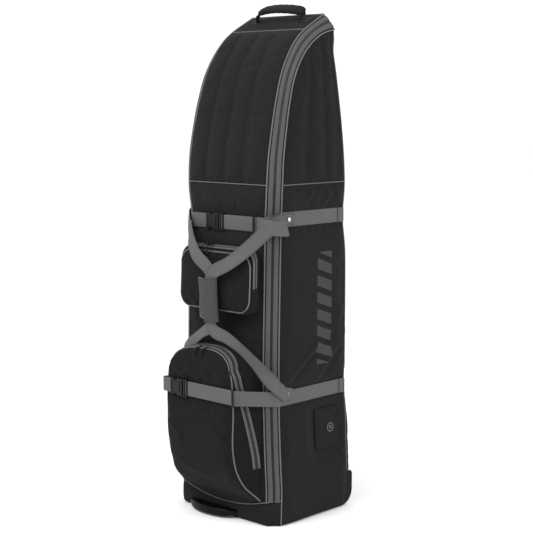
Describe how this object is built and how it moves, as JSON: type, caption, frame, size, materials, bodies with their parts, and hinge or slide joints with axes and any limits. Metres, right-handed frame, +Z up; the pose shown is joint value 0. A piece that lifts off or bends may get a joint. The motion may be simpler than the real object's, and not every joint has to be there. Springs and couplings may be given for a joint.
{
  "type": "golf travel case",
  "caption": "Tall soft-sided wheeled travel case for a golf bag: padded hood that zips open, buckled straps, front pockets, webbing carry handle, top handle and rear wheels.",
  "frame": {"origin": "centre of the base tray's flat underside, on the floor", "axes": "+Z up the case, -Y the way the front with the pockets faces, +X to the right-hand side panel with the identification flap"},
  "size_m": [0.3615, 0.4092, 1.3332],
  "materials": {
    "shell_fabric": "matte woven polyester",
    "zip_tape": "matte woven tape with coil",
    "webbing": "woven webbing",
    "padding": "matte padded cloth",
    "plastic": "satin moulded",
    "tyre": "matte urethane",
    "rivet": "polished",
    "axle": "brushed"
  },
  "bodies": {
    "case": {"front_panel": "shell_fabric", "side_panel_left": "shell_fabric", "side_panel_right": "shell_fabric", "rear_panel": "shell_fabric", "base_band": "shell_fabric", "upper_pocket": "shell_fabric", "lower_pocket": "shell_fabric", "main_zip_lower_left": "zip_tape", "main_zip_lower_right": "zip_tape", "main_zip_body_tape": "zip_tape", "upper_pocket_zip": "zip_tape", "lower_pocket_zip": "zip_tape", "upper_strap_left": "webbing", "upper_strap_right": "webbing", "lower_strap_left": "webbing", "lower_strap_right": "webbing", "inner_strap_left": "webbing", "inner_strap_right": "webbing", "id_pocket": "padding", "base_tray": "plastic", "base_handle": "plastic", "wheel_housing_left": "plastic", "wheel_housing_right": "plastic", "upper_buckle_socket": "plastic", "upper_strap_keeper": "plastic", "lower_buckle_socket": "plastic", "lower_strap_keeper": "plastic", "upper_rivet_left": "rivet", "upper_rivet_right": "rivet", "lower_rivet_left": "rivet", "lower_rivet_right": "rivet", "axle_left": "axle", "axle_right": "axle"},
    "hood": {"hood_panel": "shell_fabric", "top_panel": "shell_fabric", "main_zip_hood_tape": "zip_tape", "hood_foam_pad": "padding"},
    "top_handle": {"top_handle_strap": "webbing", "top_handle_grip": "padding"},
    "main_slider": {"main_slider": "plastic"},
    "main_slider_pull": {"main_slider_pull": "plastic"},
    "wheel_left": {"wheel_tyre_left": "tyre", "wheel_hub_left": "plastic"},
    "wheel_right": {"wheel_tyre_right": "tyre", "wheel_hub_right": "plastic"},
    "carry_handle": {"carry_strap_left": "webbing", "carry_strap_right": "webbing", "carry_grip": "padding"},
    "upper_buckle_plug": {"upper_buckle_plug": "plastic"},
    "lower_buckle_plug": {"lower_buckle_plug": "plastic"},
    "id_flap": {"id_flap": "padding"},
    "upper_pocket_slider_1": {"upper_pocket_slider_1": "plastic"},
    "upper_pocket_pull_1": {"upper_pocket_pull_1": "plastic"},
    "upper_pocket_slider_2": {"upper_pocket_slider_2": "plastic"},
    "upper_pocket_pull_2": {"upper_pocket_pull_2": "plastic"},
    "lower_pocket_slider_1": {"lower_pocket_slider_1": "plastic"},
    "lower_pocket_pull_1": {"lower_pocket_pull_1": "plastic"},
    "lower_pocket_slider_2": {"lower_pocket_slider_2": "plastic"},
    "lower_pocket_pull_2": {"lower_pocket_pull_2": "plastic"}
  },
  "joints": [
    {"name": "hood_open", "type": "hinge", "parent": "case", "child": "hood", "pos_m": [0, -0.136, 0.8732], "axis": [1, 0, 0], "range_deg": [0, 120]},
    {"name": "top_handle_swing", "type": "hinge", "parent": "hood", "child": "top_handle", "pos_m": [0, 0.0596, 1.293], "axis": [1, 0, 0], "range_deg": [-55, 55]},
    {"name": "main_slider_slide", "type": "slide", "parent": "case", "child": "main_slider", "axis": [-1, 0, 0], "range_m": [-0.03, 0.17]},
    {"name": "main_pull_swing", "type": "hinge", "parent": "main_slider", "child": "main_slider_pull", "pos_m": [0.067, 0.10399, 1.2838], "axis": [1, 0, 0], "range_deg": [0, 140]},
    {"name": "wheel_left_spin", "type": "hinge", "parent": "case", "child": "wheel_left", "pos_m": [-0.147, 0.124, 0.037], "axis": [1, 0, 0], "continuous": true},
    {"name": "wheel_right_spin", "type": "hinge", "parent": "case", "child": "wheel_right", "pos_m": [0.147, 0.124, 0.037], "axis": [1, 0, 0], "continuous": true},
    {"name": "carry_handle_lift", "type": "slide", "parent": "case", "child": "carry_handle", "axis": [0, -1, 0], "range_m": [0, 0.05]},
    {"name": "upper_buckle_release", "type": "slide", "parent": "case", "child": "upper_buckle_plug", "axis": [1, 0, 0], "range_m": [0, 0.025]},
    {"name": "lower_buckle_release", "type": "slide", "parent": "case", "child": "lower_buckle_plug", "axis": [1, 0, 0], "range_m": [0, 0.025]},
    {"name": "upper_pocket_slider_1_slide", "type": "slide", "parent": "case", "child": "upper_pocket_slider_1", "axis": [1, 0, 0], "range_m": [-0.028, 0.004]},
    {"name": "upper_pocket_pull_1_swing", "type": "hinge", "parent": "upper_pocket_slider_1", "child": "upper_pocket_pull_1", "pos_m": [-0.03, -0.1814, 0.7174], "axis": [-1, 0, 0], "range_deg": [0, 85]},
    {"name": "upper_pocket_slider_2_slide", "type": "slide", "parent": "case", "child": "upper_pocket_slider_2", "axis": [1, 0, 0], "range_m": [-0.004, 0.1]},
    {"name": "upper_pocket_pull_2_swing", "type": "hinge", "parent": "upper_pocket_slider_2", "child": "upper_pocket_pull_2", "pos_m": [-0.016, -0.1814, 0.7174], "axis": [-1, 0, 0], "range_deg": [0, 85]},
    {"name": "lower_pocket_slider_1_slide", "type": "slide", "parent": "case", "child": "lower_pocket_slider_1", "axis": [1, 0, 0], "range_m": [-0.045, 0.014]},
    {"name": "lower_pocket_pull_1_swing", "type": "hinge", "parent": "lower_pocket_slider_1", "child": "lower_pocket_pull_1", "pos_m": [-0.019, -0.2214, 0.454], "axis": [-1, 0, 0], "range_deg": [0, 85]},
    {"name": "lower_pocket_slider_2_slide", "type": "slide", "parent": "case", "child": "lower_pocket_slider_2", "axis": [1, 0, 0], "range_m": [-0.014, 0.06]},
    {"name": "lower_pocket_pull_2_swing", "type": "hinge", "parent": "lower_pocket_slider_2", "child": "lower_pocket_pull_2", "pos_m": [0.005, -0.2214, 0.454], "axis": [-1, 0, 0], "range_deg": [0, 85]},
    {"name": "id_flap_open", "type": "hinge", "parent": "case", "child": "id_flap", "pos_m": [0.17514, 0.0125, 0.226], "axis": [0.0599, 0, -0.9982], "range_deg": [0, 130]}
  ]
}
